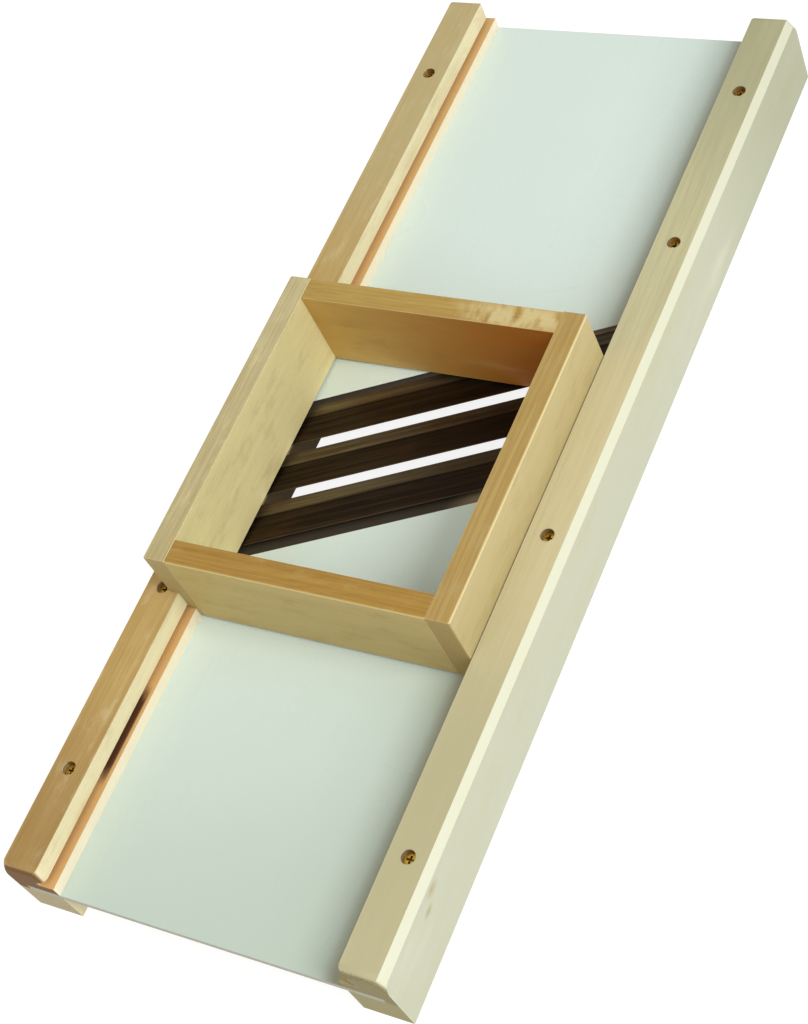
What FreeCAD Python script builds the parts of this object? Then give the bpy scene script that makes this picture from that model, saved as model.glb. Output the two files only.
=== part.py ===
import FreeCAD, Part
import math
import os
import Sketcher

# Wooden cabbage slicer: two rails, two white plates, three oblique blades and a sliding box.
# Frame: origin at the bottom centre, +X to the right rail, +Y to the far end, +Z up.
# Both rails are one moulding: the left rail and its screws are the right ones turned half round.

SHEET_NAME = "Dimensions"

DRIVING_DIMENSIONS = [
    # whole slicer
    ("slicer_length", 600.0),
    ("slicer_width", 224.5),
    # rail section
    ("rail_height", 48.4),
    ("rail_chamfer_wide", 3.0),
    ("rail_chamfer_deep", 5.0),
    ("lip_face", 24.0),
    ("lip_thick", 11.8),
    ("tongue_groove_deep", 5.0),
    ("ledge_top", 33.6),
    ("flange_wide", 28.0),
    ("flange_thick", 22.0),
    ("slot_deep", 17.0),
    ("rail_end_round", 4.5),
    # plates
    ("plate_thick", 4.0),
    ("plate_side_gap", 0.3),
    ("near_edge_back", 55.5),
    ("far_edge_ahead", 51.2),
    ("bevel_wide", 11.0),
    ("bevel_land", 0.6),
    # blades
    ("blade_angle", 26.55),
    ("blade_tilt", 9.0),
    ("blade_wide", 27.0),
    ("blade_thick", 1.2),
    ("blade_spine_flat", 9.0),
    ("blade_edge_thick", 0.25),
    ("blade_pitch", 30.3),
    ("blade_lift", 0.4),
    ("upper_spine_ahead", 49.7),
    ("tang_wide", 17.0),
    ("tang_reach", 103.5),
    ("blade_body_reach", 83.8),
    ("packer_inner_reach", 94.6),
    ("packer_margin", 0.6),
    # screws
    ("screw_axis_inset", 13.0),
    ("screw_1_back", 238.5),
    ("screw_2_back", 58.1),
    ("screw_3_ahead", 131.8),
    ("screw_4_ahead", 241.8),
    ("screw_recess_wide", 7.6),
    ("screw_recess_deep", 3.6),
    ("screw_hole_wide", 4.2),
    ("screw_head_wide", 7.2),
    ("screw_head_rim", 0.4),
    ("screw_shank_wide", 4.0),
    ("screw_long", 35.0),
    ("screw_tip_long", 5.0),
    ("cross_long", 4.2),
    ("cross_wide", 1.1),
    ("cross_deep", 1.8),
    # sliding box
    ("box_left_reach", 94.2),
    ("box_length", 187.6),
    ("box_top", 82.4),
    ("box_bottom", 27.7),
    ("box_side_wall", 13.5),
    ("box_end_wall", 13.9),
    ("box_centre_back", 39.7),
    ("box_side_play", 0.6),
    ("box_play", 0.4),
    ("box_tongue_reach", 3.8),
    ("box_arris", 0.8),
]

doc = FreeCAD.newDocument("cabbage_slicer")
sheet = doc.addObject("Spreadsheet::Sheet", SHEET_NAME)
for row, (alias, number) in enumerate(DRIVING_DIMENSIONS, start=1):
    sheet.set("A%d" % row, alias.replace("_", " "))
    sheet.set("B%d" % row, str(number))
    sheet.setAlias("B%d" % row, alias)
doc.recompute()


class Size:
    """A length or ratio that knows its number and the sheet expression that gives it."""

    def __init__(self, number, text):
        self.number = float(number)
        self.text = text

    def __add__(self, other):
        other = as_size(other)
        return Size(self.number + other.number, "(%s + %s)" % (self.text, other.text))

    def __sub__(self, other):
        other = as_size(other)
        return Size(self.number - other.number, "(%s - %s)" % (self.text, other.text))

    def __mul__(self, other):
        other = as_size(other)
        return Size(self.number * other.number, "(%s * %s)" % (self.text, other.text))

    def __truediv__(self, other):
        other = as_size(other)
        return Size(self.number / other.number, "(%s / %s)" % (self.text, other.text))

    def __neg__(self):
        return Size(-self.number, "(0 - %s)" % self.text)


def as_size(value):
    if isinstance(value, Size):
        return value
    return Size(value, repr(float(value)))


def dim(alias):
    """A driving dimension, read from its cell in the sheet."""
    return Size(getattr(sheet, alias), "%s.%s" % (SHEET_NAME, alias))


def sine(angle):
    return Size(math.sin(math.radians(angle.number)), "sin(%s * 1 deg)" % angle.text)


def cosine(angle):
    return Size(math.cos(math.radians(angle.number)), "cos(%s * 1 deg)" % angle.text)


def tangent(angle):
    return Size(math.tan(math.radians(angle.number)), "tan(%s * 1 deg)" % angle.text)


def new_body(label):
    body = doc.addObject("PartDesign::Body", label)
    body.Label = label
    return body


def new_sketch(body, name, plane_role, height=None):
    """A sketch on one of the body's own origin planes, lifted by height along its normal."""
    sketch = body.newObject("Sketcher::SketchObject", "%s_%s" % (body.Name, name))
    plane = [f for f in body.Origin.OriginFeatures if f.Role == plane_role][0]
    sketch.AttachmentSupport = [(plane, "")]
    sketch.MapMode = "FlatFace"
    if height is not None:
        sketch.setExpression("AttachmentOffset.Base.z", height.text)
    return sketch


def pin_point(sketch, geometry, point_role, place):
    """Fix one point of a sketch at a place given by two sizes from the sketch origin."""
    for kind, size in (("DistanceX", place[0]), ("DistanceY", place[1])):
        size = as_size(size)
        index = sketch.addConstraint(
            Sketcher.Constraint(kind, -1, 1, geometry, point_role, size.number))
        sketch.setExpression("Constraints[%d]" % index, size.text)


def draw_outline(sketch, corners):
    """A closed outline of straight lines through corners, each corner bound to the sheet."""
    places = [FreeCAD.Vector(as_size(x).number, as_size(y).number, 0) for x, y in corners]
    lines = []
    for index, place in enumerate(places):
        following = places[(index + 1) % len(places)]
        lines.append(sketch.addGeometry(Part.LineSegment(place, following), False))
    for index, line in enumerate(lines):
        following = lines[(index + 1) % len(lines)]
        sketch.addConstraint(Sketcher.Constraint("Coincident", line, 2, following, 1))
    for line, corner in zip(lines, corners):
        pin_point(sketch, line, 1, corner)


def draw_circle(sketch, centre, diameter):
    place = FreeCAD.Vector(as_size(centre[0]).number, as_size(centre[1]).number, 0)
    circle = sketch.addGeometry(
        Part.Circle(place, FreeCAD.Vector(0, 0, 1), diameter.number / 2), False)
    pin_point(sketch, circle, 3, centre)
    index = sketch.addConstraint(Sketcher.Constraint("Diameter", circle, diameter.number))
    sketch.setExpression("Constraints[%d]" % index, diameter.text)


def pad(body, sketch, length, both_ways=False):
    feature = body.newObject("PartDesign::Pad", "%s_pad" % sketch.Name)
    feature.Profile = sketch
    feature.setExpression("Length", length.text)
    if both_ways:
        feature.Midplane = True
    doc.recompute()
    return feature


def pocket(body, sketch, depth, both_ways=False):
    """Cut a sketch out of the body, and stop if nothing was cut."""
    before = body.Shape.Volume
    feature = body.newObject("PartDesign::Pocket", "%s_pocket" % sketch.Name)
    feature.Profile = sketch
    feature.setExpression("Length", depth.text)
    if both_ways:
        feature.Midplane = True
    doc.recompute()
    if not body.Shape.Volume < before - 1e-6:
        raise RuntimeError("%s cut nothing" % feature.Name)
    return feature


def edges_where(body, test):
    """Names of the body's edges whose box centre passes a test."""
    names = []
    for index, edge in enumerate(body.Shape.Edges, start=1):
        if test(edge.BoundBox):
            names.append("Edge%d" % index)
    return names


def near(a, b):
    return abs(a - b) < 1e-4


def round_edges(body, test, radius):
    names = edges_where(body, test)
    base = body.Tip
    feature = body.newObject("PartDesign::Fillet", "%s_round_%d" % (body.Name, len(body.Group)))
    feature.Base = (base, names)
    feature.setExpression("Radius", radius.text)
    doc.recompute()
    return feature


def chamfer_edges(body, test, size, second_size=None):
    names = edges_where(body, test)
    base = body.Tip
    feature = body.newObject("PartDesign::Chamfer", "%s_arris_%d" % (body.Name, len(body.Group)))
    feature.Base = (base, names)
    if second_size is not None:
        feature.ChamferType = "Two distances"
        feature.setExpression("Size2", second_size.text)
    feature.setExpression("Size", size.text)
    doc.recompute()
    return feature


# Sizes that several pieces share
half_long = dim("slicer_length") / 2
half_wide = dim("slicer_width") / 2
lip_face_x = half_wide - dim("lip_face")
plate_under = dim("flange_thick")
plate_top = plate_under + dim("plate_thick")
slot_floor_x = lip_face_x + dim("slot_deep")
lip_under = dim("rail_height") - dim("lip_thick")
flange_x = half_wide - dim("flange_wide")
groove_floor_x = lip_face_x + dim("tongue_groove_deep")
screw_x = half_wide - dim("screw_axis_inset")
rise_per_x = tangent(dim("blade_angle"))

# Screw places along the right rail; the left rail is the same rail turned half round
SCREW_PLACES = [
    -dim("screw_1_back"),
    -dim("screw_2_back"),
    dim("screw_3_ahead"),
    dim("screw_4_ahead"),
]
HALF_TURN = FreeCAD.Rotation(FreeCAD.Vector(0, 0, 1), 180)


# Rails: one moulding, used twice
def make_rail(label, turned):
    """Right rail: lip, tongue groove, ledge, plate slot and flange; turned makes the left one."""
    body = new_body(label)
    chamfer_x = half_wide - dim("rail_chamfer_wide")
    chamfer_z = dim("rail_height") - dim("rail_chamfer_deep")
    section = new_sketch(body, "section", "XZ_Plane")
    draw_outline(section, [
        (flange_x, 0),
        (half_wide, 0),
        (half_wide, chamfer_z),
        (chamfer_x, dim("rail_height")),
        (lip_face_x, dim("rail_height")),
        (lip_face_x, lip_under),
        (groove_floor_x, lip_under),
        (groove_floor_x, dim("ledge_top")),
        (flange_x, dim("ledge_top")),
        (flange_x, plate_top),
        (slot_floor_x, plate_top),
        (slot_floor_x, plate_under),
        (flange_x, plate_under),
    ])
    pad(body, section, dim("slicer_length"), both_ways=True)

    end_y = half_long.number
    top_z = dim("rail_height").number

    def rounded_end_edge(box):
        at_end = near(box.YLength, 0) and near(abs(box.YMin), end_y)
        upright = near(box.XLength, 0) and box.ZMax > plate_top.number
        on_lip = near(box.XMin, lip_face_x.number)
        on_top = near(box.ZMax, top_z) and not upright
        return at_end and ((upright and on_lip) or on_top)

    round_edges(body, rounded_end_edge, dim("rail_end_round"))

    recesses = new_sketch(body, "recesses", "XY_Plane", height=dim("rail_height"))
    for place in SCREW_PLACES:
        draw_circle(recesses, (screw_x, place), dim("screw_recess_wide"))
    pocket(body, recesses, dim("screw_recess_deep"))

    recess_floor = dim("rail_height") - dim("screw_recess_deep")
    holes = new_sketch(body, "holes", "XY_Plane", height=recess_floor)
    for place in SCREW_PLACES:
        draw_circle(holes, (screw_x, place), dim("screw_hole_wide"))
    before = body.Shape.Volume
    bore = body.newObject("PartDesign::Hole", "%s_bore" % label)
    bore.Profile = holes
    doc.recompute()
    bore.DepthType = "Dimension"
    bore.setExpression("Diameter", dim("screw_hole_wide").text)
    bore.setExpression("Depth", dim("screw_long").text)
    bore.HoleCutType = "Countersink"
    bore.setExpression("HoleCutDiameter", dim("screw_head_wide").text)
    bore.HoleCutCountersinkAngle = 90
    bore.DrillPoint = "Flat"
    doc.recompute()
    if not body.Shape.Volume < before - 1e-6:
        raise RuntimeError("%s cut nothing" % bore.Name)
    if turned:
        body.Placement = FreeCAD.Placement(FreeCAD.Vector(), HALF_TURN)
    return body


# Plates: laminated hardboard, each held by four screws
def make_plate(label, end_y, edge_at_middle, screws):
    """A plate between one end of the slicer and an oblique edge that crosses X = 0."""
    body = new_body(label)
    side_x = slot_floor_x - dim("plate_side_gap")
    outline = new_sketch(body, "outline", "XY_Plane", height=plate_under)
    draw_outline(outline, [
        (-side_x, end_y),
        (side_x, end_y),
        (side_x, edge_at_middle + side_x * rise_per_x),
        (-side_x, edge_at_middle - side_x * rise_per_x),
    ])
    pad(body, outline, dim("plate_thick"))

    holes = new_sketch(body, "holes", "XY_Plane", height=plate_top)
    for centre in screws:
        draw_circle(holes, centre, dim("screw_hole_wide"))
    pocket(body, holes, dim("plate_thick"))
    return body


def bevel_plate(body):
    """Slope the oblique edge down to a thin land, the ramp into the first throat."""
    top_z = plate_top.number

    def oblique_top_edge(box):
        flat = near(box.ZMin, top_z) and near(box.ZMax, top_z)
        return flat and box.XLength > 100 and box.YLength > 1

    deep = dim("plate_thick") - dim("bevel_land")
    before = body.Shape.Volume
    bevel = chamfer_edges(body, oblique_top_edge, deep, dim("bevel_wide"))
    bevel.FlipDirection = True
    doc.recompute()
    if not body.Shape.Volume < before - 1e-6:
        raise RuntimeError("%s cut nothing" % bevel.Name)


# Blades: ground strips, tilted so that each near edge stands proud, with narrower tangs
def blade_outline_x(reach_x, perp):
    """Distance along the blade where its outline meets a line X = reach_x."""
    return (reach_x + perp * sine(dim("blade_angle"))) / cosine(dim("blade_angle"))


def make_blade(label, number):
    body = new_body(label)
    tang_y = -dim("tang_wide")
    edge_y = -dim("blade_wide")
    outline = new_sketch(body, "outline", "XY_Plane")
    tang_x = dim("tang_reach")
    full_x = dim("blade_body_reach")
    draw_outline(outline, [
        (blade_outline_x(tang_x, as_size(0)), 0),
        (blade_outline_x(-tang_x, as_size(0)), 0),
        (blade_outline_x(-tang_x, tang_y), tang_y),
        (blade_outline_x(-full_x, tang_y), tang_y),
        (blade_outline_x(-full_x, edge_y), edge_y),
        (blade_outline_x(full_x, edge_y), edge_y),
        (blade_outline_x(full_x, tang_y), tang_y),
        (blade_outline_x(tang_x, tang_y), tang_y),
    ])
    pad(body, outline, dim("blade_thick"))

    fall = dim("blade_thick") - dim("blade_edge_thick")
    bevel_start = -dim("blade_spine_flat")
    bevel_run = dim("blade_wide") - dim("blade_spine_flat")
    beyond_y = edge_y - bevel_run
    grind = new_sketch(body, "grind", "YZ_Plane")
    draw_outline(grind, [
        (bevel_start, dim("blade_thick")),
        (beyond_y, dim("blade_thick")),
        (beyond_y, dim("blade_edge_thick") - fall),
    ])
    pocket(body, grind, dim("slicer_length"), both_ways=True)

    turn = FreeCAD.Rotation(FreeCAD.Vector(0, 0, 1), dim("blade_angle").number)
    tilt = FreeCAD.Rotation(FreeCAD.Vector(1, 0, 0), -dim("blade_tilt").number)
    height = (plate_under + dim("blade_lift")).number
    body.Placement = FreeCAD.Placement(
        FreeCAD.Vector(0, spine_at_middle(number), height), turn.multiply(tilt))
    return body


def spine_at_middle(number):
    """Y where the spine of a blade crosses X = 0, counted from the upper blade."""
    step = dim("blade_pitch") / cosine(dim("blade_angle"))
    return dim("upper_spine_ahead").number - number * step.number


# Packers: wedges that hold the tangs at their tilt inside the rail slots
def make_packer(label, number, side):
    """A wedge under one tang; side is +1 in the right rail and -1 in the left."""
    body = new_body(label)
    thin_y = -dim("packer_margin")
    thick_y = -(dim("tang_wide") * cosine(dim("blade_tilt")) - dim("packer_margin"))
    slope = tangent(dim("blade_tilt"))
    thin_z = dim("blade_lift") - thin_y * slope
    thick_z = dim("blade_lift") - thick_y * slope
    inner_x = dim("packer_inner_reach") * side
    outer_x = (slot_floor_x - dim("plate_side_gap")) * side
    outline = new_sketch(body, "outline", "XY_Plane")
    draw_outline(outline, [
        (blade_outline_x(inner_x, thin_y), thin_y),
        (blade_outline_x(outer_x, thin_y), thin_y),
        (blade_outline_x(outer_x, thick_y), thick_y),
        (blade_outline_x(inner_x, thick_y), thick_y),
    ])
    pad(body, outline, thick_z)
    slope_cut = new_sketch(body, "slope", "YZ_Plane")
    draw_outline(slope_cut, [
        (thick_y, thick_z),
        (thin_y, thin_z),
        (thin_y + 1, thin_z - slope),
        (thin_y + 1, thick_z),
    ])
    pocket(body, slope_cut, dim("slicer_length"), both_ways=True)
    turn = FreeCAD.Rotation(FreeCAD.Vector(0, 0, 1), dim("blade_angle").number)
    body.Placement = FreeCAD.Placement(
        FreeCAD.Vector(0, spine_at_middle(number), plate_under.number), turn)
    return body


# Screws: countersunk wood screws with a cross recess, standing in the rail recesses
def make_screw(label, x, y):
    body = new_body(label)
    head_r = dim("screw_head_wide") / 2
    shank_r = dim("screw_shank_wide") / 2
    cone_end = -(dim("screw_head_rim") + head_r - shank_r)
    tip_start = dim("screw_tip_long") - dim("screw_long")
    profile = new_sketch(body, "profile", "XZ_Plane")
    draw_outline(profile, [
        (0, 0),
        (head_r, 0),
        (head_r, -dim("screw_head_rim")),
        (shank_r, cone_end),
        (shank_r, tip_start),
        (0, -dim("screw_long")),
    ])
    turned = body.newObject("PartDesign::Revolution", "%s_turned" % label)
    turned.Profile = profile
    turned.ReferenceAxis = (profile, ["V_Axis"])
    turned.Angle = 360
    doc.recompute()

    long_half = dim("cross_long") / 2
    wide_half = dim("cross_wide") / 2
    cross = new_sketch(body, "cross", "XY_Plane")
    draw_outline(cross, [
        (long_half, -wide_half),
        (long_half, wide_half),
        (wide_half, wide_half),
        (wide_half, long_half),
        (-wide_half, long_half),
        (-wide_half, wide_half),
        (-long_half, wide_half),
        (-long_half, -wide_half),
        (-wide_half, -wide_half),
        (-wide_half, -long_half),
        (wide_half, -long_half),
        (wide_half, -wide_half),
    ])
    pocket(body, cross, dim("cross_deep"))
    head_z = dim("rail_height") - dim("screw_recess_deep") + dim("screw_head_rim")
    body.Placement = FreeCAD.Placement(
        FreeCAD.Vector(x, y, head_z.number), FreeCAD.Rotation())
    return body


# Sliding box: four walls glued butt to butt, held down by a tongue under each lip
box_right_reach = lip_face_x - dim("box_side_play")
box_centre = FreeCAD.Vector(0, -dim("box_centre_back").number, 0)


def make_side_wall(label, side, reach):
    """A wall stepped to fit the rail; side is +1 or -1 and reach its outer face from X = 0."""
    body = new_body(label)
    inner_x = reach - dim("box_side_wall")
    beside_lip = lip_face_x - dim("box_side_play")
    beside_ledge = flange_x - dim("box_side_play")
    tongue_x = lip_face_x + dim("box_tongue_reach")
    corners = [
        (inner_x, dim("box_bottom")),
        (beside_ledge, dim("box_bottom")),
        (beside_ledge, dim("ledge_top") + dim("box_play")),
        (tongue_x, dim("ledge_top") + dim("box_play")),
        (tongue_x, lip_under - dim("box_play")),
        (beside_lip, lip_under - dim("box_play")),
    ]
    overhangs = reach.number > beside_lip.number + 1e-6
    if overhangs:
        corners.append((beside_lip, dim("rail_height") + dim("box_play")))
        corners.append((reach, dim("rail_height") + dim("box_play")))
    corners.append((reach, dim("box_top")))
    corners.append((inner_x, dim("box_top")))
    section = new_sketch(body, "section", "XZ_Plane")
    draw_outline(section, [(x * side, z) for x, z in corners])
    pad(body, section, dim("box_length"), both_ways=True)
    top_z = dim("box_top").number
    end_y = (dim("box_length") / 2).number

    def soft_arris(box):
        outer = near(abs(box.XMin), reach.number) and near(box.XLength, 0)
        along_top = outer and near(box.ZMin, top_z)
        upright = outer and near(abs(box.YMin), end_y) and near(box.YLength, 0)
        return along_top or (upright and near(box.ZMax, top_z))

    chamfer_edges(body, soft_arris, dim("box_arris"))
    body.Placement = FreeCAD.Placement(box_centre, FreeCAD.Rotation())
    return body


def make_end_wall(label, end):
    """A wall across the box; end is +1 for the far wall and -1 for the near one."""
    body = new_body(label)
    left_x = dim("box_side_wall") - dim("box_left_reach")
    right_x = box_right_reach - dim("box_side_wall")
    outer_y = dim("box_length") / 2
    inner_y = outer_y - dim("box_end_wall")
    outline = new_sketch(body, "outline", "XY_Plane", height=dim("box_bottom"))
    draw_outline(outline, [
        (left_x, inner_y * end),
        (right_x, inner_y * end),
        (right_x, outer_y * end),
        (left_x, outer_y * end),
    ])
    pad(body, outline, dim("box_top") - dim("box_bottom"))
    top_z = dim("box_top").number

    def outer_top_edge(box):
        outer = near(box.YMin * end, outer_y.number) and near(box.YLength, 0)
        return near(box.ZMin, top_z) and outer

    chamfer_edges(body, outer_top_edge, dim("box_arris"))
    body.Placement = FreeCAD.Placement(box_centre, FreeCAD.Rotation())
    return body


def check_and_export(pieces):
    """Stop on any failed object or bad shape, then write one STEP file per piece."""
    doc.recompute()
    for item in doc.Objects:
        if "Invalid" in item.State or "Error" in item.State:
            raise RuntimeError("%s failed: %s" % (item.Name, item.State))
    for piece in pieces:
        shape = piece.Shape
        if shape.isNull() or not shape.isValid() or len(shape.Solids) != 1:
            raise RuntimeError("%s has a bad shape" % piece.Label)
    os.makedirs("parts", exist_ok=True)
    for piece in pieces:
        piece.Shape.exportStep("parts/%s.step" % piece.Label)
        box = piece.Shape.BoundBox
        print("%-28s %9.1f mm3  X %7.2f %7.2f  Y %7.2f %7.2f  Z %6.2f %6.2f" % (
            piece.Label, piece.Shape.Volume,
            box.XMin, box.XMax, box.YMin, box.YMax, box.ZMin, box.ZMax))


pieces = [make_rail("right_rail", turned=False), make_rail("left_rail", turned=True)]

near_edge = dim("bevel_wide") / cosine(dim("blade_angle")) - dim("near_edge_back")
near_plate = make_plate("near_plate", -half_long, near_edge, [
    (screw_x, SCREW_PLACES[0]),
    (screw_x, SCREW_PLACES[1]),
    (-screw_x, -SCREW_PLACES[2]),
    (-screw_x, -SCREW_PLACES[3]),
])
bevel_plate(near_plate)
far_plate = make_plate("far_plate", half_long, dim("far_edge_ahead"), [
    (screw_x, SCREW_PLACES[2]),
    (screw_x, SCREW_PLACES[3]),
    (-screw_x, -SCREW_PLACES[0]),
    (-screw_x, -SCREW_PLACES[1]),
])
pieces += [near_plate, far_plate]

for number, name in enumerate(["upper", "middle", "lower"]):
    pieces.append(make_blade("%s_blade" % name, number))
    for side_name, side in (("right", 1), ("left", -1)):
        pieces.append(make_packer("%s_blade_%s_packer" % (name, side_name), number, side))

for number, place in enumerate(SCREW_PLACES, start=1):
    pieces.append(make_screw("right_rail_screw_%d" % number, screw_x.number, place.number))
    pieces.append(make_screw("left_rail_screw_%d" % number, -screw_x.number, -place.number))

pieces.append(make_side_wall("box_right_wall", 1, box_right_reach))
pieces.append(make_side_wall("box_left_wall", -1, dim("box_left_reach")))
pieces.append(make_end_wall("box_far_wall", 1))
pieces.append(make_end_wall("box_near_wall", -1))

check_and_export(pieces)
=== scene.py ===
import math

import bpy
from mathutils import Matrix, Vector

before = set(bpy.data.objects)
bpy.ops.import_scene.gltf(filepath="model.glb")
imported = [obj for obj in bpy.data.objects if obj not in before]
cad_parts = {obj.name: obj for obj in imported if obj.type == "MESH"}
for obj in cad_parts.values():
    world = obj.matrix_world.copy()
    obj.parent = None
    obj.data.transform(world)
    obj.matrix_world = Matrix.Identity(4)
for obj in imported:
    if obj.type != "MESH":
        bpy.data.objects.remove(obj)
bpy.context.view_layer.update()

# Where the camera stands, in metres and degrees, and its lens in millimetres
CAMERA_PLACE = (0.53436, -0.50800, 0.88412)
CAMERA_AZIMUTH = 49.1253
CAMERA_ELEVATION = 50.7069
CAMERA_ROLL = -31.0642
CAMERA_LENS = 73.2302

# Places on the slicer in millimetres, for marks that belong to a feature of it
BLADE_ANGLE = math.radians(26.55)
BLADE_SPINES = {"upper_blade": 49.7, "middle_blade": 15.827, "lower_blade": -18.046}
PLATE_UNDER = 22.0
PLATE_TOP = 26.0
LEDGE_TOP = 33.6
LIP_UNDER = 36.6
RAIL_TOP = 48.4
LEDGE_FACE_X = 84.25
GROOVE_FLOOR_X = 93.25
SCREW_X = 99.25
RING_WIDE = 2.3
SCREW_PLACES = {
    "right_rail": (-238.5, -58.1, 131.8, 241.8),
    "left_rail": (-241.8, -131.8, 58.1, 238.5),
}

# Wood tones by piece, from 0 to 255: light and dark of the top, end grain, upright faces
# painted paler as a painted sheen of the light on them, and arrises worn and painted highlit
WOOD_TONES = {
    "left_rail": (
        (204, 173, 110), (172, 138, 74), (124, 96, 52), (240, 230, 190), (240, 226, 186)),
    # the right rail is painted paler and greyer than the left, for the stronger light on it
    "right_rail": (
        (204, 199, 158), (184, 176, 134), (166, 158, 118), (186, 188, 166), (232, 232, 208)),
    "box_left_wall": (
        (204, 192, 148), (172, 152, 100), (168, 146, 92), (236, 224, 166), (240, 228, 178)),
    "box_right_wall": (
        (190, 162, 98), (160, 126, 66), (168, 146, 92), (189, 174, 126), (238, 222, 166)),
    "box_near_wall": (
        (182, 144, 68), (146, 106, 40), (168, 140, 80), (192, 172, 112), (222, 200, 140)),
    "box_far_wall": (
        (192, 162, 88), (156, 120, 56), (168, 140, 80), (212, 172, 92), (220, 204, 152)),
}

# Widths of the softened arrises in metres
WOOD_ARRIS = 0.0005
FINE_ARRIS = 0.0001

FLOOR_HALF = 60.0


def linear(red, green, blue):
    """A screen colour given from 0 to 255, as the linear colour that shaders take."""
    parts = []
    for value in (red, green, blue):
        value = value / 255
        parts.append(value / 12.92 if value <= 0.04045 else ((value + 0.055) / 1.055) ** 2.4)
    return (*parts, 1)


class Shade:
    """A procedural material, put together from a few kinds of node."""

    def __init__(self, name):
        self.material = bpy.data.materials.new(name)
        self.material.use_nodes = True
        self.tree = self.material.node_tree
        self.surface = self.tree.nodes["Principled BSDF"]
        where = self.tree.nodes.new("ShaderNodeTexCoord")
        self.facing = self.axes(where.outputs["Normal"])
        self.place = self.vector("MULTIPLY", where.outputs["Object"], (1000, 1000, 1000))
        self.xyz = self.axes(self.place)

    def feed(self, socket, value):
        if isinstance(value, bpy.types.NodeSocket):
            self.tree.links.new(value, socket)
        else:
            socket.default_value = value

    def add(self, kind, inputs, output=0, **settings):
        node = self.tree.nodes.new(kind)
        for key, value in settings.items():
            setattr(node, key, value)
        for socket, value in inputs.items():
            self.feed(node.inputs[socket], value)
        return node.outputs[output]

    def axes(self, vector):
        node = self.tree.nodes.new("ShaderNodeSeparateXYZ")
        self.tree.links.new(vector, node.inputs[0])
        return tuple(node.outputs)

    def length(self, vector):
        return self.add("ShaderNodeVectorMath", {0: vector}, output="Value", operation="LENGTH")

    def join(self, x, y, z):
        return self.add("ShaderNodeCombineXYZ", {0: x, 1: y, 2: z})

    def vector(self, operation, a, b):
        return self.add("ShaderNodeVectorMath", {0: a, 1: b}, operation=operation)

    def calc(self, operation, a, b=0.0):
        return self.add("ShaderNodeMath", {0: a, 1: b}, operation=operation)

    def total(self, *values):
        result = values[0]
        for value in values[1:]:
            result = self.calc("ADD", result, value)
        return result

    def times(self, *values):
        result = values[0]
        for value in values[1:]:
            result = self.calc("MULTIPLY", result, value)
        return result

    def size(self, value):
        return self.calc("ABSOLUTE", value)

    def radius(self, a, b, squash=1.0):
        """Length of the pair (a, b); a counts less where squash is below 1."""
        squares = self.total(self.times(self.times(a, a), squash), self.times(b, b))
        return self.calc("SQRT", squares)

    def step(self, value, low, high):
        """0 below low and 1 above high, smooth between; low may be the larger."""
        inputs = {"Value": value, "From Min": low, "From Max": high}
        return self.add("ShaderNodeMapRange", inputs, interpolation_type="SMOOTHSTEP")

    def span(self, value, low, high):
        """0 to 1 brought to low to high."""
        inputs = {"Value": value, "To Min": low, "To Max": high}
        return self.add("ShaderNodeMapRange", inputs)

    def noise(self, place, stretch, detail=2.0, roughness=0.5):
        scaled = self.vector("MULTIPLY", place, stretch)
        inputs = {"Vector": scaled, "Scale": 1.0, "Detail": detail, "Roughness": roughness}
        return self.add("ShaderNodeTexNoise", inputs)

    def paint(self, colour, tone, share, *masks):
        """The tone laid over a colour by a share, where all the masks are 1."""
        return self.blend(self.times(*masks, share), colour, tone)

    def blend(self, factor, a, b):
        return self.add("ShaderNodeMix", {0: factor, 6: a, 7: b}, output=2, data_type="RGBA")

    def edges(self, radius):
        """1 along convex and concave arrises within a radius in metres."""
        soft = self.add("ShaderNodeBevel", {"Radius": radius}, samples=4)
        sharp = self.tree.nodes.new("ShaderNodeNewGeometry").outputs["Normal"]
        alike = self.add("ShaderNodeVectorMath", {0: soft, 1: sharp}, output="Value",
                         operation="DOT_PRODUCT")
        return self.step(self.calc("SUBTRACT", 1.0, alike), 0.01, 0.2)

    def finish(self, colour, roughness, height, depth, strength, **constants):
        """Feed the surface; depth is the distance in metres that the bumps stand for."""
        self.feed(self.surface.inputs["Base Color"], colour)
        self.feed(self.surface.inputs["Roughness"], roughness)
        for name, value in constants.items():
            self.surface.inputs[name.replace("_", " ")].default_value = value
        inputs = {"Height": height, "Distance": depth, "Strength": strength}
        self.feed(self.surface.inputs["Normal"], self.add("ShaderNodeBump", inputs))
        return self.material


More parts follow.
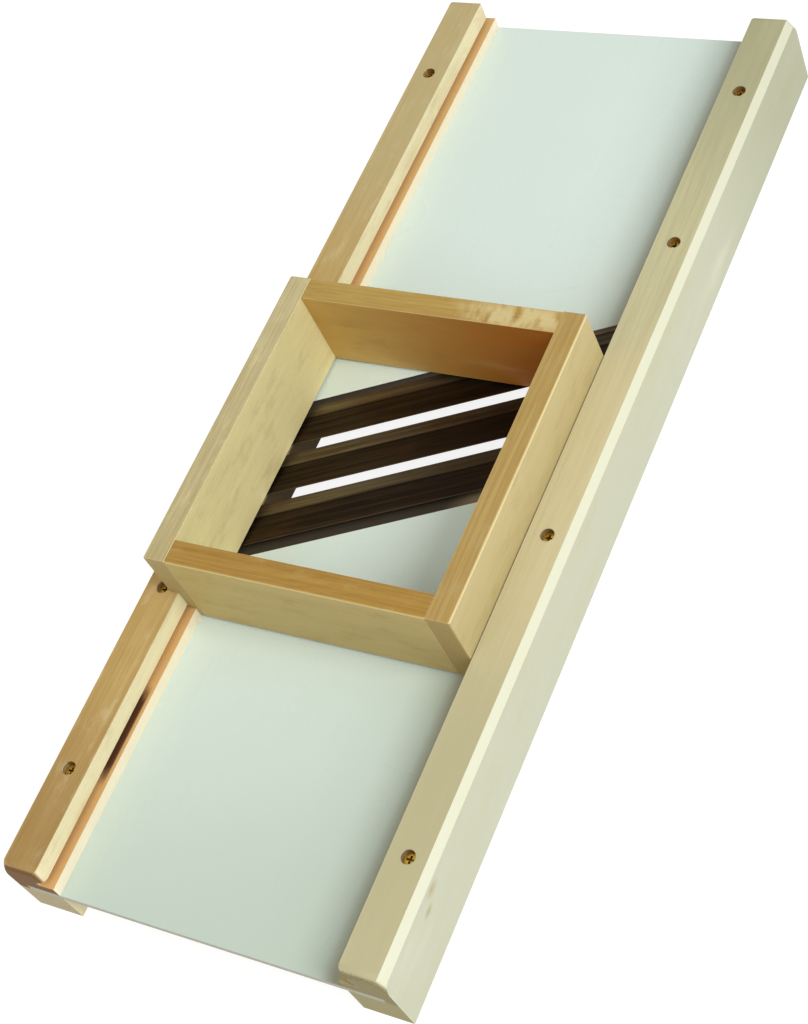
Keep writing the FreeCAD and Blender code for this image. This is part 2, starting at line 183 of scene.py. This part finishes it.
class Wood(Shade):
    """Planed light wood; grain is the axis it runs along."""

    def __init__(self, piece, grain, seed):
        super().__init__("%s_wood" % piece)
        x, y, z = self.xyz
        tones = [linear(*tone) for tone in WOOD_TONES[piece]]
        self.light, self.dark, self.end, self.side, self.wear_and_highlight = tones
        self.axis = 1 if grain == "Y" else 0
        self.along, self.across = (y, x) if grain == "Y" else (x, y)
        self.upright = self.step(self.size(self.facing[1 - self.axis]), 0.3, 0.9)
        own = self.join(self.across, self.along, z)
        self.own = self.vector("ADD", own, (seed * 31.7, seed * 203.9, seed * 57.3))
        self.shine = 0.35
        self.colour = None

    def lay(self, tone, share, *masks):
        self.colour = self.paint(self.colour, tone, share, *masks)

    def grow(self, pith, ring, knots):
        """Growth rings about a pith line outside the piece, bent aside by knots."""
        drift = self.noise(self.own, (0.010, 0.0035, 0.010), 2.0)
        wander = self.noise(self.own, (0.06, 0.009, 0.06), 2.0)
        u = self.total(self.across, -pith[0], self.span(drift, -26, 26))
        w = self.total(self.xyz[2], -pith[1], self.span(wander, -4, 4))
        bend = 0.0
        self.core = 0.0
        for knot_across, knot_along, knot_z, knot_wide in knots:
            far = self.length(self.join(
                self.calc("SUBTRACT", self.across, knot_across),
                self.times(self.calc("SUBTRACT", self.along, knot_along), 0.55),
                self.calc("SUBTRACT", self.xyz[2], knot_z)))
            pushed = self.times(self.step(far, knot_wide * 5, 0.0), knot_wide * 1.2)
            bend = self.total(bend, pushed)
            self.core = self.calc("MAXIMUM", self.core, self.step(far, knot_wide * 1.5, 0.0))
        distance = self.total(self.radius(u, w), bend)
        self.phase = self.calc("FRACT", self.calc("DIVIDE", distance, ring))
        self.late = self.times(self.step(self.phase, 0.25, 0.9), self.step(self.phase, 1.0, 0.93))

    def plane(self, shaded_across):
        """Fibres, fine pores, short ray flecks, broad clouds and mottles of a planed face."""
        self.fibre = self.noise(self.own, (0.9, 0.016, 0.9), 5.0, 0.62)
        self.fine = self.noise(self.own, (4.6, 0.09, 4.6), 3.0, 0.6)
        self.cloud = self.noise(self.own, (0.035, 0.007, 0.035), 3.0, 0.55)
        fleck = self.noise(self.own, (1.5, 0.20, 1.5), 2.0, 0.5)
        streak = self.noise(self.own, (0.22, 0.0035, 0.22), 3.0, 0.6)
        mottle = self.noise(self.own, (0.11, 0.045, 0.11), 4.0, 0.65)
        tone = self.total(
            self.times(self.late, 0.13),
            self.times(self.step(self.fibre, 0.32, 0.72), 0.40),
            self.times(self.step(self.fine, 0.35, 0.75), 0.22),
            self.times(self.step(streak, 0.42, 0.66), 0.25))
        # painted shade and warm reflected light: an inner face darkens to deep orange towards +X,
        # where the right wall shades it
        if shaded_across is not None:
            start, stop, shade_tone = shaded_across
            inner = self.step(self.facing[1], -0.3, -0.8)
            across_shade = self.times(self.step(self.xyz[0], start, stop), inner)
            self.side = self.blend(across_shade, self.side, shade_tone)
        # upright faces take the paler side tone, a painted sheen of the light they catch
        flank = self.blend(0.22, self.side, self.dark)
        self.colour = self.blend(tone, self.blend(self.upright, self.light, self.side),
                                 self.blend(self.upright, self.dark, flank))
        self.lay(self.dark, 0.16, self.step(fleck, 0.62, 0.72))
        self.lay(self.dark, 0.28, self.step(self.cloud, 0.50, 0.74))
        self.lay(self.wear_and_highlight, 0.28, self.step(self.cloud, 0.45, 0.22))
        self.lay(self.dark, 0.22, self.step(mottle, 0.50, 0.70))
        self.lay(self.side, 0.25, self.step(mottle, 0.48, 0.30))

    def drift(self, stretches):
        """Tones that change along the board, weighed by another share on faces towards +X."""
        outward = self.step(self.facing[0], 0.3, 0.6)
        for start, stop, share, outer_share, tone in stretches:
            reach = self.step(self.xyz[1], start, stop)
            self.lay(tone, share, reach, self.span(outward, 1.0, outer_share),
                     self.span(self.cloud, 0.7, 1.3))

    def cut_ends(self, heel):
        """End grain with the rings seen as arcs; heel has the tones of a rail's near end."""
        self.ends = self.step(self.size(self.facing[self.axis]), 0.55, 0.9)
        self.pores = self.noise(self.own, (2.6, 0.5, 2.6), 4.0, 0.7)
        end_tone = self.total(
            self.times(self.late, 0.35), self.times(self.step(self.pores, 0.4, 0.7), 0.5))
        end_colour = self.blend(end_tone, self.end, self.blend(0.5, self.end, self.dark))
        self.lay(end_colour, 0.85, self.ends)
        if heel is not None:
            foot = self.step(self.xyz[2], PLATE_UNDER + 1.0, PLATE_UNDER - 0.5)
            heel_colour = self.blend(
                self.step(self.pores, 0.35, 0.7), self.blend(foot, *heel), self.end)
            near_end = self.step(self.facing[1], -0.5, -0.9)
            self.lay(heel_colour, 0.85, near_end)
            self.shine = self.span(near_end, self.shine, 0.08)

    def wear(self, place_x, place_y, wide):
        """A patch on a top face that is rubbed pale in parts and soiled in parts."""
        dx = self.calc("SUBTRACT", self.xyz[0], place_x)
        dy = self.calc("SUBTRACT", self.xyz[1], place_y)
        far = self.radius(dx, dy, squash=0.055)
        patch = self.times(self.step(far, wide, wide * 0.4), self.step(self.facing[2], 0.5, 0.9))
        rubbed = self.noise(self.own, (0.07, 0.16, 0.1), 3.0, 0.5)
        self.lay(self.wear_and_highlight, 0.7, patch, self.step(rubbed, 0.36, 0.62))
        self.lay(linear(124, 98, 40), 0.25, patch, self.step(rubbed, 0.46, 0.34))

    def shade_flange(self, inward):
        """Painted shade darkens the flange below the plates around the blades, and dulls its shine.
        """
        flange_shade = self.times(
            self.step(self.xyz[2], PLATE_UNDER + 0.6, PLATE_UNDER - 0.6), inward,
            self.step(self.size(self.xyz[1]), 175.0, 90.0))
        self.lay(linear(52, 36, 14), 0.97, flange_shade)
        self.shine = self.times(self.shine, self.span(flange_shade, 1.0, 0.06))

    def light_ledge(self, tone, inward):
        """Painted light: the ledge top, shaded under the lip, is painted a lighter warm tone, and
        its face is painted pale as lit.
        """
        height = self.xyz[2]
        top = self.times(
            self.step(height, LEDGE_TOP + 0.3, LEDGE_TOP + 0.1),
            self.step(height, LEDGE_TOP - 0.3, LEDGE_TOP - 0.1),
            self.step(self.size(self.xyz[0]), GROOVE_FLOOR_X + 3.75, GROOVE_FLOOR_X + 1.75))
        self.lay(tone, 0.8, top)
        face = self.times(
            self.step(height, LEDGE_TOP - 0.1, LEDGE_TOP - 0.3),
            self.step(height, PLATE_TOP - 0.4, PLATE_TOP + 0.2))
        self.lay(linear(250, 238, 214), 0.75, face, inward, self.upright)

    def shade_recesses(self, side, places):
        """Painted shade in and around the screw recesses, on the given side of the slicer."""
        inside = 0.0
        for place in places:
            dx = self.calc("SUBTRACT", self.xyz[0], side * SCREW_X)
            dy = self.calc("SUBTRACT", self.xyz[1], place)
            inside = self.calc("MAXIMUM", inside, self.step(self.radius(dx, dy), 4.6, 3.7))
        below = self.step(self.xyz[2], RAIL_TOP + 0.2, RAIL_TOP - 1.0)
        self.lay(linear(112, 76, 26), 0.85, inside, self.calc("MAXIMUM", below, 0.25),
                 self.step(self.xyz[2], 38.0, 41.0))

    def shade_groove_gap(self, start, stop):
        """Painted shade of a gap: a dark stretch at the back of the groove under the lip."""
        ragged = self.noise(self.own, (0.5, 0.1, 0.5), 3.0)
        place = self.total(self.xyz[1], self.span(ragged, -6, 6))
        self.lay(
            linear(70, 26, 10), 0.92,
            self.step(place, start, start + 16), self.step(place, stop, stop - 12),
            self.step(self.xyz[2], LIP_UNDER + 0.3, LIP_UNDER - 0.2),
            self.step(self.xyz[2], LEDGE_TOP - 2.0, LEDGE_TOP - 1.0),
            self.step(self.size(self.xyz[0]), GROOVE_FLOOR_X + 3.75, GROOVE_FLOOR_X + 1.75),
            self.step(self.size(self.xyz[0]), 85.6, 87.0))


def wood(piece, grain, seed, pith, knots=(), screws=None, worn=None, groove_gap_shade=None,
         shaded_across=None, stretches=(), heel=None):
    """A board dressed by the steps of Wood, in the order in which they would show."""
    board = Wood(piece, grain, seed)
    board.grow(pith, RING_WIDE, knots)
    board.plane(shaded_across)
    board.drift(stretches)

    # the sloped arris of a rail is painted paler, a painted highlight where it faces the light
    tilt = board.facing[2]
    board.lay(board.wear_and_highlight, 0.55, board.step(tilt, 0.2, 0.45), board.step(tilt, 0.85, 0.65))
    board.cut_ends(heel)
    if knots:
        knot_colour = board.blend(
            board.step(board.phase, 0.2, 0.8), linear(176, 158, 92), linear(142, 118, 58))
        board.lay(knot_colour, 0.6, board.core)
    if worn is not None:
        board.wear(*worn)

    # the arrises are painted paler: a painted highlight along them, and wear from handling
    board.lay(board.wear_and_highlight, 0.5, board.edges(0.0011), board.span(board.fibre, 0.35, 0.95))
    if screws is not None:
        # where a rail has screws: painted shade on the flange and in the recesses, painted light on
        # the ledge
        hand, places, ledge_light = screws
        inward = board.step(board.size(board.xyz[0]), LEDGE_FACE_X + 0.95, LEDGE_FACE_X + 0.35)
        board.shade_flange(inward)
        board.light_ledge(ledge_light, inward)
        board.shade_recesses(hand, places)
    if groove_gap_shade is not None:
        board.shade_groove_gap(*groove_gap_shade)

    board.feed(board.surface.inputs["Specular IOR Level"], board.shine)
    dents = board.noise(board.own, (0.25, 0.05, 0.25), 3.0, 0.5)
    roughness = board.total(
        board.span(board.fine, 0.50, 0.66), board.times(board.step(dents, 0.55, 0.75), -0.08))
    height = board.total(
        board.times(board.fibre, 0.6), board.times(board.fine, 0.35), board.times(dents, 0.5),
        board.times(board.pores, board.ends, 0.8))
    return board.finish(board.colour, roughness, height, depth=0.00022, strength=0.35)


def laminate(name, seed):
    """White laminate on brown hardboard: glossy top, fibrous core at the edges and below."""
    shade = Shade(name)
    x, y, z = shade.xyz
    own = shade.vector("ADD", shade.place, (seed * 77.0, seed * 41.0, 0.0))
    cloud = shade.noise(own, (0.012, 0.012, 0.012), 3.0)
    speck = shade.noise(own, (0.8, 0.8, 0.8), 3.0, 0.6)
    colour = shade.blend(cloud, linear(229, 243, 236), linear(219, 235, 228))
    colour = shade.blend(shade.span(speck, 0.0, 0.22), colour, linear(190, 206, 198))

    # painted shade, darker towards the near end and the right rail
    painted_shade = shade.step(shade.calc("SUBTRACT", shade.times(x, 0.55), y), 60.0, 330.0)
    colour = shade.paint(colour, linear(180, 194, 178), 0.7, painted_shade)

    # hair scratches run mostly along the slicer, where the food is pushed
    rubbed = shade.noise(own, (1.6, 0.012, 1.0), 3.0, 0.6)
    scratch = shade.step(rubbed, 0.63, 0.69)
    cross = shade.step(shade.noise(own, (0.05, 1.9, 1.0), 3.0, 0.6), 0.67, 0.72)
    marks = shade.calc("MAXIMUM", scratch, shade.times(cross, 0.6))
    colour = shade.paint(colour, linear(150, 158, 146), 0.10, marks)
    # painted shade: greyer towards the right rail
    colour = shade.paint(colour, linear(186, 198, 184), 0.4, shade.step(x, 15.0, 75.0))

    # grime and painted shade gather against the right rail; the olive band next to it is painted
    # shadow
    grime_and_shade_film = shade.span(shade.noise(own, (0.3, 0.03, 0.3), 3.0), 0.2, 0.75)
    colour = shade.paint(colour, linear(170, 164, 122), 0.45, shade.step(x, 72.0, 86.0), grime_and_shade_film)
    colour = shade.paint(colour, linear(124, 110, 62), 0.7, shade.step(x, 69.0, 78.0),
                         shade.span(rubbed, 0.6, 1.0))

    # the core is darker at the throats on the left, meshed below and painted at the ends
    core = shade.step(shade.facing[2], 0.985, 0.96)
    fibres = shade.noise(own, (1.8, 1.8, 5.0), 5.0, 0.7)
    core_colour = shade.blend(fibres, linear(150, 132, 104), linear(104, 86, 62))
    core_colour = shade.paint(core_colour, linear(24, 16, 9), 0.85,
                              shade.step(shade.size(y), 150.0, 100.0), shade.step(x, 42.0, 22.0))
    under = shade.step(shade.facing[2], -0.6, -0.9)
    mesh = shade.times(
        shade.step(shade.calc("SINE", shade.times(x, 4.2)), 0.1, 0.9),
        shade.step(shade.calc("SINE", shade.times(y, 4.2)), 0.1, 0.9), under)
    core_colour = shade.paint(core_colour, linear(62, 40, 20), 0.35, mesh)
    core_colour = shade.paint(core_colour, linear(176, 176, 164), 0.85,
                              shade.step(shade.size(y), 180.0, 230.0),
                              shade.step(under, 0.6, 0.4))
    colour = shade.blend(core, colour, core_colour)

    roughness = shade.total(
        shade.span(cloud, 0.22, 0.34), shade.times(marks, 0.2), shade.times(core, 0.5))
    height = shade.total(
        shade.times(shade.noise(own, (0.35, 0.35, 0.35), 2.0), 0.25), shade.times(marks, -0.12),
        shade.times(fibres, core, 0.9), shade.times(mesh, 0.8))
    return shade.finish(colour, roughness, height, depth=0.0002, strength=0.25,
                        Specular_IOR_Level=0.45)


def blade_steel(name, spine):
    """Dark carbon steel, ground along its length; spine is where it crosses the middle."""
    shade = Shade(name)
    x, y, z = shade.xyz
    down = shade.total(
        shade.times(x, -math.sin(BLADE_ANGLE)),
        shade.times(shade.calc("SUBTRACT", y, spine), math.cos(BLADE_ANGLE)))
    along = shade.total(
        shade.times(x, math.cos(BLADE_ANGLE)), shade.times(y, math.sin(BLADE_ANGLE)))
    own = shade.join(along, shade.calc("ADD", down, spine * 3.1), z)
    coarse = shade.noise(own, (0.010, 0.42, 0.3), 4.0, 0.62)
    fine = shade.noise(own, (0.06, 3.4, 1.0), 4.0, 0.65)
    cloud = shade.noise(own, (0.03, 0.10, 0.1), 3.0, 0.6)
    spots = shade.step(shade.noise(own, (0.4, 0.5, 0.5), 4.0, 0.7), 0.63, 0.74)

    # a flat spine above, a ground bevel below and a dark seam between them
    bevel = shade.blend(shade.step(coarse, 0.36, 0.66), linear(66, 51, 33), linear(36, 26, 18))
    flat = shade.blend(shade.step(coarse, 0.35, 0.7), linear(132, 118, 92), linear(84, 70, 50))
    colour = shade.blend(shade.step(down, -9.6, -8.6), bevel, flat)
    colour = shade.paint(colour, linear(88, 58, 28), 0.45, shade.step(cloud, 0.5, 0.75))
    colour = shade.paint(colour, linear(26, 18, 12), 0.8,
                         shade.step(down, -10.8, -9.4), shade.step(down, -7.8, -9.2))

    # fine scratches, rust spots, darker to the right and bright at the cutting edge
    colour = shade.paint(colour, linear(30, 20, 14), 0.30, shade.step(fine, 0.52, 0.75))
    colour = shade.paint(colour, linear(92, 52, 24), 0.35, spots)
    colour = shade.paint(colour, linear(30, 19, 14), 0.55, shade.step(x, -70.0, 40.0))
    colour = shade.paint(colour, linear(126, 112, 92), 0.35, shade.step(down, -25.4, -26.6))

    roughness = shade.total(shade.span(fine, 0.34, 0.5), shade.times(spots, 0.2))
    height = shade.total(fine, shade.times(coarse, 0.6), shade.times(spots, 0.4))
    return shade.finish(colour, roughness, height, depth=0.00012, strength=0.45,
                        Metallic=0.85, Anisotropic=0.4)


def screw_brass(name):
    """Yellow brass with turning marks, worn in patches and darker below the top of its head, in its
    slots.
    """
    shade = Shade(name)
    worn = shade.noise(shade.place, (0.9, 0.9, 0.9), 4.0, 0.6)
    turned = shade.noise(shade.place, (0.5, 0.5, 7.0), 3.0, 0.5)
    colour = shade.blend(shade.step(worn, 0.4, 0.7), linear(240, 204, 96), linear(190, 146, 56))
    colour = shade.paint(colour, linear(60, 42, 18), 0.7, shade.step(shade.xyz[2], 45.0, 44.2))
    height = shade.total(worn, shade.times(turned, 0.4))
    return shade.finish(colour, shade.span(worn, 0.22, 0.42), height, depth=0.0001,
                        strength=0.3, Metallic=1.0)


def packer_wood(name):
    """Sawn hardwood with saw lines across the grain."""
    shade = Shade(name)
    fibre = shade.noise(shade.place, (0.12, 1.4, 1.4), 5.0, 0.65)
    saw = shade.noise(shade.place, (2.6, 0.15, 0.4), 2.0, 0.5)
    colour = shade.blend(shade.step(fibre, 0.3, 0.7), linear(178, 136, 84), linear(112, 78, 42))
    colour = shade.paint(colour, linear(96, 66, 36), 0.3, shade.step(saw, 0.5, 0.7))
    height = shade.total(fibre, shade.times(saw, 0.8))
    return shade.finish(colour, shade.span(fibre, 0.6, 0.8), height, depth=0.0003, strength=0.5)


def soften(node, width):
    """Round the arrises of a piece by a bevel modifier."""
    weld = node.modifiers.new("weld", "WELD")
    weld.merge_threshold = 0.00001
    bevel = node.modifiers.new("arris", "BEVEL")
    bevel.width = width
    bevel.segments = 2
    bevel.limit_method = "ANGLE"
    bevel.angle_limit = math.radians(28)
    bevel.use_clamp_overlap = True


def dress():
    """Give every piece its material and softened arrises."""
    looks = {
        "left_rail": wood(
            "left_rail", "Y", 1, pith=(-150, -70),
            screws=(-1, SCREW_PLACES["left_rail"], linear(226, 178, 116)),
            groove_gap_shade=(-245.0, -180.0),
            stretches=((-175.0, -275.0, 0.45, 0.0, linear(136, 98, 50)),
                       (40.0, 200.0, 0.6, 0.0, linear(192, 182, 138))),
            heel=(linear(98, 54, 0), linear(206, 200, 164))),
        "right_rail": wood(
            "right_rail", "Y", 2, pith=(160, -80),
            knots=((112.0, -247.0, 38.5, 2.6), (112.4, -256.0, 33.0, 2.2)),
            screws=(1, SCREW_PLACES["right_rail"], linear(176, 158, 100)),
            stretches=((110.0, 270.0, 0.5, 1.0, linear(150, 152, 120)),
                       (110.0, 20.0, 0.35, 0.0, linear(224, 204, 162)),
                       (-60.0, -190.0, 0.75, 0.0, linear(178, 172, 134))),
            heel=(linear(98, 84, 36), linear(142, 134, 88))),
        "box_left_wall": wood("box_left_wall", "Y", 3, pith=(-160, 20)),
        "box_right_wall": wood("box_right_wall", "Y", 4, pith=(150, 10)),
        "box_near_wall": wood("box_near_wall", "X", 5, pith=(-200, 30)),
        "box_far_wall": wood(
            "box_far_wall", "X", 6, pith=(120, 40), worn=(50.0, 47.0, 11.0),
            shaded_across=(-70.0, 70.0, linear(172, 94, 4))),
        "near_plate": laminate("near_plate_laminate", 1),
        "far_plate": laminate("far_plate_laminate", 2),
    }
    for blade, spine in BLADE_SPINES.items():
        looks[blade] = blade_steel("%s_steel" % blade, spine)
    brass = screw_brass("screw_brass")
    packing = packer_wood("packer_wood")
    for name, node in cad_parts.items():
        if "_screw_" in name:
            material = brass
        elif name.endswith("_packer"):
            material = packing
        else:
            material = looks[name]
        node.data.materials.clear()
        node.data.materials.append(material)
        soften(node, WOOD_ARRIS if name in WOOD_TONES else FINE_ARRIS)


def add_camera():
    """A camera at a set place; azimuth 0 looks along +Y and 90 along -X, roll turns it."""
    azimuth = math.radians(CAMERA_AZIMUTH)
    elevation = math.radians(CAMERA_ELEVATION)
    roll = math.radians(CAMERA_ROLL)
    ahead = Vector((
        -math.sin(azimuth) * math.cos(elevation),
        math.cos(azimuth) * math.cos(elevation),
        -math.sin(elevation)))
    level = ahead.cross(Vector((0, 0, 1))).normalized()
    upright = level.cross(ahead)
    right = level * math.cos(roll) + upright * math.sin(roll)
    up = upright * math.cos(roll) - level * math.sin(roll)
    data = bpy.data.cameras.new("camera")
    data.sensor_width = 36
    data.lens = CAMERA_LENS
    data.clip_start = 0.01
    camera = bpy.data.objects.new("camera", data)
    turn = Matrix((right, up, -ahead)).transposed().to_4x4()
    camera.matrix_world = Matrix.Translation(CAMERA_PLACE) @ turn
    bpy.context.scene.collection.objects.link(camera)
    bpy.context.scene.camera = camera


def add_floor():
    """A pale table under the slicer, bright by itself so that it stays plain."""
    mesh = bpy.data.meshes.new("floor")
    corners = [(x * FLOOR_HALF, y * FLOOR_HALF, 0) for x, y in ((-1, -1), (1, -1), (1, 1), (-1, 1))]
    mesh.from_pydata(corners, [], [(0, 1, 2, 3)])
    floor = bpy.data.objects.new("floor", mesh)
    bpy.context.scene.collection.objects.link(floor)
    material = bpy.data.materials.new("floor_white")
    material.use_nodes = True
    shader = material.node_tree.nodes["Principled BSDF"]
    shader.inputs["Base Color"].default_value = (0.25, 0.25, 0.25, 1)
    shader.inputs["Roughness"].default_value = 0.9
    shader.inputs["Emission Color"].default_value = (1, 1, 1, 1)
    shader.inputs["Emission Strength"].default_value = 0.86
    mesh.materials.append(material)


def add_area_light(name, place, aim, size, power, colour):
    data = bpy.data.lights.new(name, "AREA")
    data.shape = "RECTANGLE"
    data.size, data.size_y = size
    data.energy = power
    data.color = colour
    light = bpy.data.objects.new(name, data)
    light.location = place
    light.rotation_euler = (Vector(aim) - Vector(place)).to_track_quat("-Z", "Y").to_euler()
    bpy.context.scene.collection.objects.link(light)


def add_lights():
    """A soft key from the right, a weak fill from the near left and a pale surround."""
    add_area_light("key", (1.5, -0.22, 1.32), (0, 0, 0.03), (0.8, 0.8), 23.5, (0.98, 1, 1))
    add_area_light("fill", (-0.3, -1.3, 1.4), (0, 0, 0.03), (1.2, 1.2), 5.5, (1, 0.98, 0.93))
    world = bpy.data.worlds.new("studio")
    world.use_nodes = True
    background = world.node_tree.nodes["Background"]
    background.inputs["Color"].default_value = (1, 0.98, 0.94, 1)
    background.inputs["Strength"].default_value = 0.55
    bpy.context.scene.world = world
    bpy.context.scene.view_settings.view_transform = "Standard"


dress()
add_camera()
add_floor()
add_lights()
